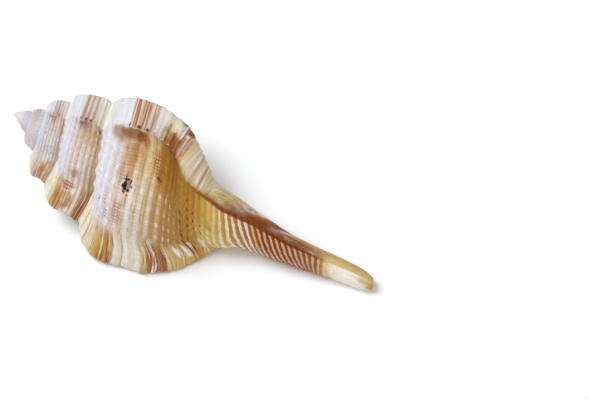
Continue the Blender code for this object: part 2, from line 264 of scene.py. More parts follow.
def angle(turn, cord):
    """Angle round the axis in radians: 0 at the older varix, 90 degrees on the back, 180 at the lip."""
    s = turn + HALF_TURN
    crease = np.radians(curve(CREASE_DEGREES, cord))
    lip = np.radians(curve(LIP_DEGREES, cord))
    underside = np.radians(curve(INNER_LIP_DEGREES, cord)) * s / HALF_TURN
    back = crease + (lip - crease) * (s - FACE_END) / (HALF_TURN - FACE_END)
    past_varix = s % 1
    wider = np.minimum(past_varix / FACE_END, (HALF_TURN - past_varix) / (HALF_TURN - FACE_END))
    on_spire = math.tau * s + (crease - math.tau * FACE_END) * np.maximum(wider, 0)
    return np.select(
        [turn < -1, turn <= -HALF_TURN, s <= FACE_END, turn <= 0],
        [on_spire, underside, crease * s / FACE_END, back],
        lip + math.tau * turn,
    )


def fanned(turn, cord):
    """The place that a cord takes where the cords fan out towards the crest of a varix."""
    s = turn % HALF_TURN
    on_face = 1 - step(0, FACE_END, s)
    share = np.maximum(step(curve(FAN_STARTS, cord), HALF_TURN, s), on_face)
    slant = curve(RIB_SLANT, cord) * np.maximum((s - FACE_END) / (HALF_TURN - FACE_END), on_face)
    in_lip_row = np.round(turn / HALF_TURN) % 2 == 0
    last_whorl = np.where(in_lip_row, curve(FAN_IN_LIP_ROW, cord), curve(FAN_IN_OLDER_ROW, cord))
    spire = curve(FAN_ON_SPIRE, cord) * in_lip_row
    return cord + slant + share * np.where(turn < SPIRE_FAN_ENDS, spire, last_whorl)


def smooth_wall(turn, label):
    """The wall at a turn and a cord, without its relief, in the growth frame."""
    cord = fanned(turn, label)
    phi = angle(turn, cord)
    x = axial(turn, cord)
    raised = flare_height(turn, cord)
    r = radial(turn, cord) + raised
    across = (curve(CANAL_HALF_WIDTH, x) + raised) * np.cos(phi)
    z = (curve(CANAL_HALF_DEPTH, x) + raised) * np.sin(phi)
    slanted_x = x - TIP_SLANT * across * step(LAST_RIB_CORD - 1, TIP_CORD, cord)
    on_whorl = np.stack([x, r * np.cos(phi), r * np.sin(phi)], -1)
    on_canal = np.stack([slanted_x, curve(CANAL_OFFSET, x) + across, z], -1)
    share = step(*CANAL_STARTS_AT_CORDS, cord)[..., None]
    return on_whorl + (on_canal - on_whorl) * share


def bead(turn):
    """1 on the ridges of growth that carry the beads, 0 between them."""
    return wave((turn % HALF_TURN - BEADS_START) / BEAD_SPACING) * between_varices(turn)


def relief(turn, cord):
    """Height of the cords, beads, canal ribs and rest marks over the smooth wall."""
    s = turn % HALF_TURN
    grown = RELIEF_GROWTH**turn
    ridge = wave(cord) ** CORD_SHARPNESS
    height = CORD_HEIGHT + (CORD_HEIGHT_ON_VARIX - CORD_HEIGHT) * flare(turn)
    height = height + BEAD_HEIGHT * bead(turn) ** BEAD_SHARPNESS
    fine = FINE_CORD_HEIGHT * wave(FINE_CORDS_PER_CORD * cord) * (1 - ridge)
    corded = (ridge * height + fine) * grown
    between_rims = step(FACE_END, BEADS_START, s) * step(HALF_TURN, FLARE_STARTS, s)
    ribs = CANAL_RIB_HEIGHT * ridge * np.where(turn < -HALF_TURN, CANAL_RIBS_BEHIND_LIP, between_rims)
    raised = np.where(cord <= NECK_CORD, corded, np.where(cord <= LAST_RIB_CORD, ribs, 0))
    by_inner_lip = (cord > SEAM_CORD) & (turn < -HALF_TURN)
    raised = np.where(by_inner_lip, raised * step(*BASE_CORDS_START_AT_TURNS, turn), raised)
    rests = 0
    for high, to_a_turn, wander, rate, start in REST_MARKS:
        rests = rests + high * np.sin(math.tau * to_a_turn * turn + wander * np.sin(rate * cord + start))
    above_seam = step(SEAM_CORD, SEAM_CORD - REST_MARKS_OFF_SEAM, cord)
    off_seam = step(0, REST_MARKS_OFF_SEAM, cord) * np.where(turn < COVERED_BY_LAST_WHORL, above_seam, 1)
    off_seam = off_seam * step(*REST_MARKS_END_AT_CORDS, cord)
    in_crease = np.maximum(0, 1 - np.abs(turn + HALF_TURN - FACE_END) / FACE_END)
    crease = CREASE_DEPTH * in_crease * step(*CREASE_STARTS_AT_CORDS, cord)
    crease = crease * step(*CREASE_ENDS_AT_CORDS, cord)
    return raised + rests * grown * off_seam - crease


def wall(turn, cord):
    """The finished wall: the smooth one, raised by the relief along its own normal."""
    turn, cord = np.broadcast_arrays(np.asarray(turn, float), np.asarray(cord, float))
    small_turn = 0.002
    small_cord = 0.08
    along = smooth_wall(turn + small_turn, cord) - smooth_wall(turn - small_turn, cord)
    below = np.minimum(cord + small_cord, TIP_CORD)
    above = np.maximum(cord - small_cord, 0)
    down = smooth_wall(turn, below) - smooth_wall(turn, above)
    normal = np.cross(down, along)
    normal /= np.maximum(np.linalg.norm(normal, axis=-1, keepdims=True), 1e-9)
    return smooth_wall(turn, cord) + normal * relief(turn, cord)[..., None]


# Columns are growth lines and rows are cords. The first two whorls, a few millimetres long, take
# every second growth line.
FACE_COLUMNS = 10
BEAD_COLUMNS = 84
FLARE_COLUMNS = 22
ROWS_PER_CORD = 6
ROWS_PER_CANAL_RIB = 5
ROWS_PER_PLAIN_CORD = 4
COARSE_HALVES = 4
SEAM_ROW = SEAM_CORD * ROWS_PER_CORD
NECK_ROW = NECK_CORD * ROWS_PER_CORD
half_turn = np.concatenate([
    np.linspace(0, FACE_END, FACE_COLUMNS, endpoint=False),
    np.linspace(FACE_END, FLARE_STARTS, BEAD_COLUMNS, endpoint=False),
    np.linspace(FLARE_STARTS, HALF_TURN, FLARE_COLUMNS, endpoint=False),
])
rib_rows = np.arange(1, (LAST_RIB_CORD - NECK_CORD) * ROWS_PER_CANAL_RIB + 1)
plain_rows = np.arange(1, (TIP_CORD - LAST_RIB_CORD) * ROWS_PER_PLAIN_CORD + 1)
cords = np.concatenate([
    np.arange(NECK_ROW + 1) / ROWS_PER_CORD,
    NECK_CORD + rib_rows / ROWS_PER_CANAL_RIB,
    LAST_RIB_CORD + plain_rows / ROWS_PER_PLAIN_CORD,
])
columns = len(half_turn)
turns = []
for k in range(-2 * TURNS, 0):
    turns.append(k * HALF_TURN + (half_turn[::2] if k < COARSE_HALVES - 2 * TURNS else half_turn))
turns = np.concatenate([*turns, np.linspace(0, FACE_END, FACE_COLUMNS + 1)])
coarse_turn, fine_turn = columns, 2 * columns
coarse_end = COARSE_HALVES * columns // 2
inner_lip = len(turns) - 1 - fine_turn

places, labels, insides = [], [], []


def lay(points, turn, cord, inside):
    """Adds a set of points with the turn, cord and inside share of each. Gives their numbers."""
    points = np.asarray(points, float).reshape(-1, 3)
    first = sum(len(p) for p in places)
    places.append(points)
    labels.append(np.stack([np.broadcast_to(turn, len(points)), np.broadcast_to(cord, len(points))], -1))
    insides.append(np.broadcast_to(np.asarray(inside, float), len(points)))
    return np.arange(first, first + len(points))


grid = np.full((len(turns), len(cords)), -1)
between = {}
for i, turn in enumerate(turns):
    last = SEAM_ROW if i < inner_lip else len(cords) - 1
    shared = i >= coarse_turn
    rows = np.arange(1 if shared else 0, last + 1)
    grid[i, rows] = lay(wall(turn, cords[rows]), turn, cords[rows], 0)
    if not shared:
        continue
    if i < coarse_end:
        grid[i, 0] = grid[i - coarse_turn, SEAM_ROW]
    elif i < coarse_end + fine_turn:
        offset = i - coarse_end
        column = coarse_end - coarse_turn + offset // 2
        if offset % 2:
            between[column] = lay(wall(turn - 1, SEAM_CORD), turn - 1, SEAM_CORD, 0)[0]
            grid[i, 0] = between[column]
        else:
            grid[i, 0] = grid[column, SEAM_ROW]
    else:
        grid[i, 0] = grid[i - fine_turn, SEAM_ROW]

faces, face_labels = [], []
for i in range(len(turns) - 1):
    last = SEAM_ROW if i < inner_lip else len(cords) - 1
    for j in range(last):
        around = ((i, j), (i, j + 1), (i + 1, j + 1), (i + 1, j))
        corners = [grid[place] for place in around]
        marks = [(turns[column], cords[row]) for column, row in around]
        if j == SEAM_ROW - 1 and i in between:
            corners.insert(2, between[i])
            marks.insert(2, ((turns[i] + turns[i + 1]) / 2, SEAM_CORD))
        faces.append(corners)
        face_labels.append(marks)


def name_of(point):
    """The turn and cord of a point that only one place on the sheet has."""
    k = 0
    while point >= len(labels[k]):
        point -= len(labels[k])
        k += 1
    return tuple(labels[k][point])


def join(corners, marks):
    """Adds a face, leaving out a corner that comes twice."""
    kept = [k for k in range(len(corners)) if corners[k] != corners[k - 1]]
    if len(kept) > 2:
        faces.append([corners[k] for k in kept])
        face_labels.append([marks[k] for k in kept])


def strip(first, second, first_marks, second_marks, closed=False):
    """Faces between two rows of points with the same count."""
    count = len(first)
    for a in range(count if closed else count - 1):
        b = (a + 1) % count
        join(
            [first[a], first[b], second[b], second[a]],
            [first_marks[a], first_marks[b], second_marks[b], second_marks[a]],
        )


# The first whorl closes in a small blunt dome, in rings that lie these shares of the way to its top.
DOME_RINGS = (0.25, 0.5, 0.72, 0.88)
DOME_ROUNDNESS = 0.7
rim = [grid[i, 0] for i in range(coarse_turn + 1)] + list(grid[0, 1:SEAM_ROW][::-1])
rim_places = np.concatenate(places)[rim]
marks = [(-TURNS, 0.0)] * len(rim)
ring = rim
for share in DOME_RINGS:
    shrink = np.array([1 - share, (1 - share) ** DOME_ROUNDNESS, (1 - share) ** DOME_ROUNDNESS])
    closer = lay(rim_places * shrink, -TURNS, 0, 0)
    strip(ring, closer, marks, marks, closed=True)
    ring = closer
tip = lay((0, 0, 0), -TURNS, 0, 0)[0]
for a in range(len(ring)):
    join([ring[a], ring[(a + 1) % len(ring)], tip], [marks[0]] * 3)

# The canal is an open groove along the mouth side, rounded at the bottom.
coordinates = np.concatenate(places)
lip = grid[-1]
columella = grid[inner_lip, SEAM_ROW:]
GROOVE_SIDE_FACES = 5
GROOVE_ROUNDNESS = 1.4


def toward_groove(edge, share):
    """Points between the edge of the canal and the bottom of its groove."""
    x = edge[:, 0]
    bottom_y = curve(CANAL_OFFSET, x)
    bottom_z = curve(CANAL_HALF_DEPTH, x) * (GROOVE_DEPTH_SHARE - 1)
    y = edge[:, 1] + (bottom_y - edge[:, 1]) * share**GROOVE_ROUNDNESS
    z = edge[:, 2] + (bottom_z - edge[:, 2]) * math.sin(share * math.pi / 2)
    return np.stack([x, y, z], -1)


lip_edge = lip[NECK_ROW:]
meets = max(k for k, point in enumerate(columella) if coordinates[point][0] <= coordinates[lip_edge[0]][0])
inner_edge = columella[meets:]
lip_cords = cords[NECK_ROW:]
inner_cords = cords[SEAM_ROW + meets :]
lip_marks = [(FACE_END, c) for c in lip_cords]
inner_marks = [(-1 + FACE_END, c) for c in inner_cords]
lip_side, inner_side = [lip_edge], [inner_edge]
for k in range(1, GROOVE_SIDE_FACES + 1):
    share = k / GROOVE_SIDE_FACES
    lip_side.append(lay(toward_groove(coordinates[lip_edge], share), FACE_END, lip_cords, share))
    if k < GROOVE_SIDE_FACES:
        points = toward_groove(coordinates[inner_edge], share)
        inner_side.append(lay(points, -1 + FACE_END, inner_cords, share))
for first, second in zip(lip_side, lip_side[1:]):
    strip(first, second, lip_marks, lip_marks)
for first, second in zip(inner_side, inner_side[1:]):
    strip(first, second, inner_marks, inner_marks)
coordinates = np.concatenate(places)
first, second = lip_side[-1], inner_side[-1]
i = j = 0
while i < len(first) - 1 or j < len(second) - 1:
    on_lip_side = j == len(second) - 1 or (
        i < len(first) - 1 and coordinates[first[i + 1]][0] < coordinates[second[j + 1]][0]
    )
    if on_lip_side:
        join([first[i], first[i + 1], second[j]], [lip_marks[i], lip_marks[i + 1], inner_marks[j]])
        i += 1
    else:
        join([first[i], second[j + 1], second[j]], [lip_marks[i], inner_marks[j + 1], inner_marks[j]])
        j += 1

# The end of the canal is a worn, rounded rim with the groove running out of it. Each ring of it has its
# share of the way to the middle, and how far it stands out.
END_RINGS = ((0.12, 0.1), (0.3, 0.16), (0.6, 0.12))
END_MIDDLE_RAISED = 0.25
end = [grid[i, -1] for i in range(inner_lip, len(turns))]
end += [side[-1] for side in lip_side[1:]] + [side[-1] for side in inner_side[:0:-1]]
end_places = coordinates[end]
middle = end_places.mean(0) + (0, 0, END_MIDDLE_RAISED)
marks = [name_of(point) for point in end]
ring = end
for share, out in END_RINGS:
    closer = lay(end_places + (middle - end_places) * share + (out, 0, 0), 0, TIP_CORD, 0.2)
    strip(ring, closer, marks, marks, closed=True)
    ring = closer
tip = lay(middle, 0, TIP_CORD, 0.3)[0]
for a in range(len(ring)):
    join([ring[a], ring[(a + 1) % len(ring)], tip], [marks[a], marks[(a + 1) % len(ring)], marks[a]])

# The mouth leads into the hollow, which winds up the last whorl. Each ring of the mouth has its turn
# and its share of the way from the rim to the hollow. Low teeth stand inside the lip.
MOUTH_RINGS = (
    (0.0, 0.05), (-0.001, 0.12), (-0.003, 0.22), (-0.006, 0.34), (-0.011, 0.48), (-0.018, 0.62),
    (-0.027, 0.75), (-0.037, 0.86), (-0.048, 0.95), (-0.06, 1.0),
)
CAVITY_START = -0.08
CAVITY_END = -0.66
CAVITY_STEP = -0.02
CAVITY_MIDDLE_TO_NECK = 0.4
CAVITY_MIDDLE_RADIUS = 0.64
SCALE_TO_SPIRE = 0.8
SCALE_TO_CANAL = 0.56
SCALE_RADIAL = 0.8
HEAD_OF_GROOVE_RADIUS = 3.6
TOOTH_HEIGHT = 0.07
TEETH_START_AT_CORDS = (2, 4)
TEETH_END_AT_CORDS = (17, 14)
TEETH_REACH = 0.9
ENAMEL_DEEPENS = 4


def hollow_wall(turn, x, r):
    """A place on the whorl section at a turn, drawn in towards the middle of the section."""
    middle_x = (1 - CAVITY_MIDDLE_TO_NECK) * seam_x(turn) + CAVITY_MIDDLE_TO_NECK * neck_x(turn)
    middle_r = CAVITY_MIDDLE_RADIUS * body_radius(turn)
    x = middle_x + np.where(x > middle_x, SCALE_TO_CANAL, SCALE_TO_SPIRE) * (x - middle_x)
    r = middle_r + SCALE_RADIAL * (r - middle_r)
    phi = math.tau * (turn + HALF_TURN)
    return np.stack([x, r * math.cos(phi), r * math.sin(phi)], -1)


head = [side[0] for side in lip_side[1:]] + [side[0] for side in inner_side[:0:-1]]
ring = list(lip[: NECK_ROW + 1]) + head + list(columella[1 : meets + 1][::-1])
before = NECK_ROW + 1
after = before + len(head)
ring_places = coordinates[ring]
ring_earlier = np.array([0.0] * after + [-1.0] * (len(ring) - after))
columella_cords = cords[SEAM_ROW + 1 : SEAM_ROW + meets + 1][::-1]
ring_cords = np.concatenate([cords[: NECK_ROW + 1], [NECK_CORD] * len(head), columella_cords])
in_head = np.zeros(len(ring))
in_head[before:after] = 1 - np.abs(np.linspace(-1, 1, len(head) + 2)[1:-1])
marks = [name_of(point) for point in ring]
cavity_rings = [(turn, 1.0) for turn in np.arange(CAVITY_START, CAVITY_END, CAVITY_STEP)]
for turn, inward in [*MOUTH_RINGS, *cavity_rings]:
    x = axial(turn + ring_earlier, ring_cords)
    r = radial(turn + ring_earlier, ring_cords)
    r = r + (HEAD_OF_GROOVE_RADIUS - r) * in_head
    x = x + (neck_x(turn) - x) * in_head
    teeth = TOOTH_HEIGHT * wave(ring_cords) ** 2 * step(*TEETH_START_AT_CORDS, ring_cords)
    teeth = teeth * step(*TEETH_END_AT_CORDS, ring_cords) * (ring_earlier == 0)
    share = np.minimum(1, inward + teeth * math.sin(math.pi * min(1, inward / TEETH_REACH)))[:, None]
    deeper = ring_places + (hollow_wall(turn, x, r) - ring_places) * share
    numbers = lay(deeper, turn, ring_cords, min(1, inward * ENAMEL_DEEPENS))
    next_marks = [(turn, c) for c in ring_cords]
    strip(ring, numbers, marks, next_marks, closed=True)
    ring, marks = list(numbers), next_marks
back = lay(np.concatenate(places)[ring].mean(0), CAVITY_END, SEAM_CORD, 1)[0]
for a in range(len(ring)):
    join([ring[a], ring[(a + 1) % len(ring)], back], [marks[a], marks[(a + 1) % len(ring)], marks[a]])

# The sheet is laid at rest. Its turn and cord go into a map, for the pigment to follow.
coordinates = np.concatenate(places)
turned = np.array(Euler((math.radians(REST_ROLL), math.radians(REST_PITCH), 0)).to_matrix())
at_rest = coordinates @ turned.T + (*SPIRE_TIP_AT_REST, 0)
at_rest[:, 2] -= at_rest[:, 2].min()
mesh = bpy.data.meshes.new("murex_shell")
mesh.from_pydata((at_rest / 1000).tolist(), [], faces)
growth_map = mesh.uv_layers.new(name="turn_and_cord")
corner_marks = np.array([mark for face in face_labels for mark in face], np.float32)
growth_map.uv.foreach_set("vector", corner_marks.ravel())
how_far_in = mesh.attributes.new("inside", "FLOAT", "POINT")
how_far_in.data.foreach_set("value", np.concatenate(insides).astype(np.float32))
shell = bpy.data.objects.new("murex_shell", mesh)
bpy.context.scene.collection.objects.link(shell)
bpy.context.view_layer.objects.active = shell
shell.select_set(True)
bpy.ops.object.mode_set(mode="EDIT")
bpy.ops.mesh.select_all(action="SELECT")
bpy.ops.mesh.normals_make_consistent(inside=False)
bpy.ops.object.mode_set(mode="OBJECT")
bpy.ops.object.shade_smooth()
shell.select_set(False)
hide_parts("shell")
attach(shell, "root")


# SHELL, COLOUR AND FINISH. The wall is porcellaneous aragonite, chalky white where the snail laid no
# pigment. The pigment is laid at the growing edge, so it runs in bands along the cords and in rests
# along the growth lines. The outside is worn satin and the inside is smooth as glaze.
def linear(colour):
    """An sRGB hex colour as linear red, green, blue and alpha."""
    parts = [int(colour[k : k + 2], 16) / 255 for k in (1, 3, 5)]
    return (*[p / 12.92 if p <= 0.04045 else ((p + 0.055) / 1.055) ** 2.4 for p in parts], 1)


def add(kind, feeds=(), stops=(), **settings):
    """Adds a node with its settings, its ramp's stops, and what feeds its sockets, by place or name."""
    node = tree.nodes.new("ShaderNode" + kind)
    for name, value in settings.items():
        setattr(node, name, value)
    for socket, feed in feeds.items() if isinstance(feeds, dict) else enumerate(feeds):
        if isinstance(feed, bpy.types.NodeSocket):
            tree.links.new(feed, node.inputs[socket])
        elif feed is not None:
            node.inputs[socket].default_value = feed
    for k, (place, colour) in enumerate(stops):
        ramp = node.color_ramp.elements
        stop = ramp[k] if k < 2 else ramp.new(place)
        stop.position = place
        stop.color = linear(colour)
    return node.outputs[0]


aragonite = bpy.data.materials.new("porcellaneous aragonite")
aragonite.use_nodes = True
tree = aragonite.node_tree
surface = tree.nodes["Principled BSDF"]
SMOOTH = {"interpolation_type": "SMOOTHSTEP"}

# Where a point lies: its turn and cord, its share h of the growth from one varix to the next, and
# whether that growth is a back half turn, from the older row of varices to the row of the lip.
growth = add("UVMap", uv_map="turn_and_cord")
growth_axes = add("SeparateXYZ", [growth]).node
turn, cord = growth_axes.outputs[0], growth_axes.outputs[1]
halves = add("Math", [turn, 2.0], operation="MULTIPLY")
h = add("Math", [halves], operation="FRACT")
on_back = add("Math", [add("Math", [turn], operation="FRACT"), 0.5], operation="GREATER_THAN")
body = add("TexCoord").node.outputs["Object"]
in_mm = add("VectorMath", [body, (1000, 1000, 1000)], operation="MULTIPLY")

# Unevenness. Blotches are 4 mm and grain 0.4 mm across, and a canal streak is 3 mm long and half a
# millimetre wide. The others follow the growth. On the last whorl a cord streak is 3 mm long and half a
# cord wide, a fine streak 2.5 mm by a seventh, a growth streak 0.8 mm by two cords, a ray 1 mm by a
# fifth, and a long streak 9 mm by a fifth.
noises = {}
for name, place, scale, detail in (
    ("blotch", in_mm, (0.28, 0.28, 0.28), 3.0), ("grain", in_mm, (2.6, 2.6, 2.6), 2.0),
    ("cord streak", growth, (22, 2.2, 0), 3.0), ("fine streak", growth, (27, 6.8, 0), 3.0),
    ("growth streak", growth, (85, 0.45, 0), 3.0), ("ray", growth, (70, 4.5, 0), 2.0),
    ("long streak", growth, (8, 4.4, 0), 2.0), ("canal streak", in_mm, (0.3, 2.2, 2.2), 2.0),
):
    scaled = add("VectorMath", [place, scale], operation="MULTIPLY")
    noises[name] = add("TexNoise", {"Vector": scaled, "Scale": 1.0, "Detail": detail, "Roughness": 0.58})
shift = add("MapRange", [noises["blotch"], 0.3, 0.7, -0.5, 0.5])
uneven = add("CombineXYZ", [
    add("Math", [shift, 0.006], operation="MULTIPLY"),
    add("MapRange", [noises["cord streak"], 0.3, 0.7, -0.22, 0.22]),
])
ragged = add("VectorMath", [growth, uneven], operation="ADD")
ragged_h = add("Math", [shift, 0.07, h], operation="MULTIPLY_ADD")

# Sculpture, which the pigment follows: cords one unit apart, beads every 0.05 turn (3.4 mm on the last
# whorl), growth threads every 0.012 turn (0.8 mm) and fine threads along, three to a cord.
waves = {}
for name, source, period, start in (
    ("ridge", cord, 1.0, 0.0), ("bead", turn, BEAD_SPACING, BEADS_START),
    ("thread", turn, 0.012, 0.0), ("fine", cord, 1 / FINE_CORDS_PER_CORD, 0.0),
):
    at = add("MapRange", [source, start, start + period, 0.0, math.tau], clamp=False)
    swing = add("Math", [at], operation="COSINE")
    waves[name] = add("MapRange", [swing, 1.0, -1.0, 0.0, 1.0])
ridge = waves["ridge"]
cell = add("Math", [waves["fine"], waves["thread"]], operation="MULTIPLY")
furrow = add("Math", [1.0, ridge], operation="SUBTRACT")
breaks = {
    "all": 1.0,
    "furrows": add("MapRange", [furrow, 0.4, 0.8, 0.0, 1.0]),
    "threads": add("MapRange", [waves["thread"], 0.2, 0.7, 1.0, 0.1]),
    "dashes": add("MapRange", [waves["bead"], 0.25, 0.5, 1.0, 0.0]),
    "streaks": add("MapRange", [noises["cord streak"], 0.4, 0.58, 0.15, 1.0]),
    "grid": add("MapRange", [cell, 0.1, 0.55, 1.0, 0.25]),
}

# Bands of pigment across the cords, from the upper seam to the end of the canal. Each zone of growth
# has a colour for the furrows and one for the tops of the cords.
BANDS = {
    "furrow by the crease": (
        (0, "#D6CDCD"), (1, "#DAD8DE"), (3.0, "#D2C8C4"), (3.8, "#CCB49C"), (4.6, "#C49C6C"),
        (5.4, "#BA8848"), (6.2, "#C8A268"), (7.0, "#D2B47C"), (7.8, "#C8A25C"), (8.6, "#A87026"),
        (10, "#9C6218"), (11.4, "#A46C20"), (12.4, "#BC8C3A"), (13.6, "#B88434"), (14.5, "#AC7426"),
        (16, "#BA8C32"), (18, "#C8A254"), (20, "#BA8C4A"), (21.5, "#AC7436"), (23, "#A8642C"),
        (24, "#A05C26"), (24.8, "#96501A"), (26, "#823C0C"), (30, "#86400F"), (33, "#8E5426"),
        (35.5, "#96602C"), (37, "#D0B068"), (40, "#C89C50"),
    ),
    "ridge by the crease": (
        (0, "#DCD6D8"), (1, "#E0DEE4"), (3.0, "#DAD4D8"), (4, "#D6C7BA"), (5.0, "#D2B488"),
        (6.3, "#DEC89C"), (7.4, "#DCC28C"), (8.4, "#B8863E"), (10, "#A87026"), (11.4, "#B07C30"),
        (12.5, "#C89C50"), (14, "#C49444"), (16, "#C49848"), (18, "#D2B060"), (19, "#DCC28C"),
        (20, "#E2D2A8"), (22, "#E6DAC0"), (23.2, "#E8E0E0"), (24, "#E2D0B0"), (24.8, "#D4A874"),
        (26, "#D4AE8C"), (29, "#D0A88C"), (33, "#CCAC98"), (36, "#D2B080"), (37, "#E8DCC0"),
        (38, "#F4EEE0"), (39.2, "#F0E6D0"), (40, "#CFA258"),
    ),
    "furrow on the back": (
        (0, "#D8D4D8"), (1, "#D8D6DE"), (2.6, "#D6D2DA"), (3.4, "#DACEC8"), (4.3, "#DAC2A8"),
        (5.0, "#D4B68C"), (5.6, "#DACEBE"), (6.2, "#D8C096"), (7, "#CEAC74"), (8, "#B48844"),
        (9, "#AE7E3A"), (10, "#AA7C36"), (12, "#AA7C34"), (14, "#AC8036"), (15, "#BE9244"),
        (16, "#CEAA5E"), (18, "#D2B068"), (20, "#D0AE78"), (22, "#BC8E58"), (23.3, "#B8906C"),
        (24.5, "#B0785C"), (25.3, "#AC6838"), (28, "#A05C2E"), (31, "#A4663E"), (34, "#AA724A"),
        (36, "#B07C54"), (37, "#D2B478"), (38, "#E6DCC4"), (40, "#E8DFC8"),
    ),
    "ridge on the back": (
        (0, "#DEDAE2"), (3, "#DEDAE4"), (4, "#E0D6D2"), (5.5, "#ECE8E6"), (6.5, "#DEDAD6"),
        (7.5, "#E2D4BC"), (8.5, "#D0B684"), (9.5, "#C4A066"), (11, "#BA9450"), (13, "#B89248"),
        (15, "#CCA65A"), (16, "#DEC280"), (17, "#E2D09C"), (18, "#E8DCB8"), (20, "#ECE4D0"),
        (22, "#EEE6DA"), (23.5, "#E8E2E6"), (24.5, "#E2D6D2"), (26, "#E4D2C6"), (28, "#DEC6BA"),
        (31, "#DCC4BC"), (34, "#D8BEAE"), (36, "#DAC2A4"), (37, "#ECE0C4"), (37.6, "#F4EFE6"),
        (39.2, "#F4EFE8"), (40, "#E2CDA0"),
    ),
    "crest in the lip row": (
        (0, "#E2D8C6"), (2.2, "#E2D6B4"), (2.65, "#DCC896"), (2.8, "#A8682C"), (2.95, "#D4B478"),
        (3.35, "#C49848"), (3.5, "#94541E"), (3.65, "#C29650"), (3.95, "#BE8E48"), (4.08, "#8E4A18"),
        (4.2, "#D8C09A"), (4.4, "#D8C4A4"), (4.52, "#94501E"), (4.65, "#E8E0D6"), (5.2, "#DCCCAA"),
        (5.7, "#EAE6E4"), (6.1, "#DCC89C"), (6.5, "#EAE4DE"), (6.95, "#D4B884"), (7.05, "#94541E"),
        (7.2, "#DCC8A0"), (7.35, "#A8702C"), (7.85, "#96581E"), (7.95, "#EEE6DE"), (8.08, "#E6D8CC"),
        (8.16, "#864214"), (8.75, "#A46A2A"), (9.3, "#84420F"), (9.5, "#E6D8C4"), (9.8, "#D2B274"),
        (12.6, "#C8A25C"), (19, "#C8A468"),
    ),
    "face in the older row": (
        (0, "#E9E2D2"), (0.8, "#E8E2D8"), (1.4, "#D7D7DB"), (3.7, "#D7D7DB"), (4.1, "#C08A54"),
        (4.5, "#B4743C"), (4.8, "#DACCB8"), (5.1, "#BC8048"), (5.75, "#B87A42"), (6.0, "#E4D6C0"),
        (6.25, "#B07838"), (6.6, "#C8A888"), (6.9, "#DEDAD4"), (7.7, "#DCD6C8"), (8.4, "#D2C398"),
        (9.4, "#D8D0BA"), (9.7, "#B07C44"), (9.95, "#E4DAD2"), (10.3, "#9E6430"), (10.6, "#E2D8D4"),
        (11.0, "#A87040"), (11.5, "#C49A62"), (12.1, "#D6C298"), (13.8, "#D0B886"), (14.05, "#B08450"),
        (14.2, "#CDB484"), (15.3, "#D0BA8C"), (15.45, "#A27040"), (15.6, "#CDB484"), (24, "#CDBA90"),
    ),
    "back of the canal": (
        (0, "#CDB87A"), (17.5, "#CDB87C"), (20, "#D0BE88"), (21.5, "#D2C0A8"), (22.6, "#DCCDBC"),
        (23.3, "#D0B490"), (23.9, "#9A6436"), (25.5, "#8E5A2E"), (27.0, "#94622E"), (27.5, "#D8CCC8"),
        (28.3, "#C4AE9C"), (28.9, "#9A6638"), (30.5, "#946034"), (32.5, "#A07044"), (34.5, "#AC8258"),
        (36, "#BC9C6C"), (37, "#D2B87C"), (40, "#C8AC70"),
    ),
}
ROW_CORDS = 24.0
across = add("SeparateXYZ", [ragged]).node.outputs[1]
streaked = add("MapRange", [noises["long streak"], 0.3, 0.7, -0.14, 0.14])
streaked = add("Math", [across, streaked], operation="ADD")
band = {}
for name, stops in BANDS.items():
    width, source = (ROW_CORDS, streaked) if name.endswith("row") else (TIP_CORD, across)
    place = add("Math", [source, width], operation="DIVIDE")
    band[name] = add("ValToRGB", [place], [(at / width, colour) for at, colour in stops])

# The tops of the cords show as soft streaks on the whorls and as clear ribs on the neck and canal.
cord_tops = add("Math", [noises["fine streak"], 0.7, ridge], operation="MULTIPLY_ADD")
cord_tops = add("Math", [noises["cord streak"], 0.5, cord_tops], operation="MULTIPLY_ADD")
soft_tops = add("MapRange", [cord_tops, 0.8, 1.7, 0.25, 0.85], **SMOOTH)
broken_tops = add("Math", [noises["cord streak"], 1.1, cord_tops], operation="MULTIPLY_ADD")
clear_tops = add("MapRange", [broken_tops, 1.5, 2.0, 0.0, 1.0], **SMOOTH)
past_ribs = add("MapRange", [cord, 36.4, 37.2, 0.0, 1.0], **SMOOTH)
clear_tops = add("Math", [clear_tops, past_ribs], operation="MAXIMUM")
on_ribs = add("MapRange", [cord, 13.0, 18.0, 0.0, 1.0], **SMOOTH)
tops = add("MapRange", [on_ribs, 0.0, 1.0, soft_tops, clear_tops])
by_crease = add("MixRGB", [tops, band["furrow by the crease"], band["ridge by the crease"]])
on_the_back = add("MixRGB", [tops, band["furrow on the back"], band["ridge on the back"]])
past_crease = add("MapRange", [ragged_h, 0.28, 0.62, 0.0, 1.0], **SMOOTH)
colour = add("MixRGB", [past_crease, by_crease, on_the_back])

# The pigment lies deeper in the grooves of a fine net than on its cells.
on_net = add("Math", [
    add("MapRange", [cord, 2.5, 4.5, 0.25, 1.0]), add("MapRange", [cord, 18.0, 15.0, 0.0, 1.0]),
], operation="MULTIPLY")
net = add("MapRange", [cell, 0.05, 0.5, 0.24, 0.0])
net = add("Math", [net, add("MapRange", [noises["cord streak"], 0.35, 0.6, 0.3, 1.0])], operation="MULTIPLY")
net = add("Math", [net, on_net], operation="MULTIPLY")
colour = add("MixRGB", [net, colour, linear("#E2B47C")], blend_type="MULTIPLY")
beside = add("Math", [
    add("MapRange", [waves["fine"], 0.45, 0.9, 0.0, 0.75]), add("MapRange", [furrow, 0.5, 0.72, 0.0, 1.0]),
], operation="MULTIPLY")
beside = add("Math", [
    beside, add("MapRange", [noises["fine streak"], 0.42, 0.6, 0.0, 1.0]),
], operation="MULTIPLY")
beside = add("Math", [beside, on_net], operation="MULTIPLY")
colour = add("MixRGB", [beside, colour, linear("#AE6E2C")])

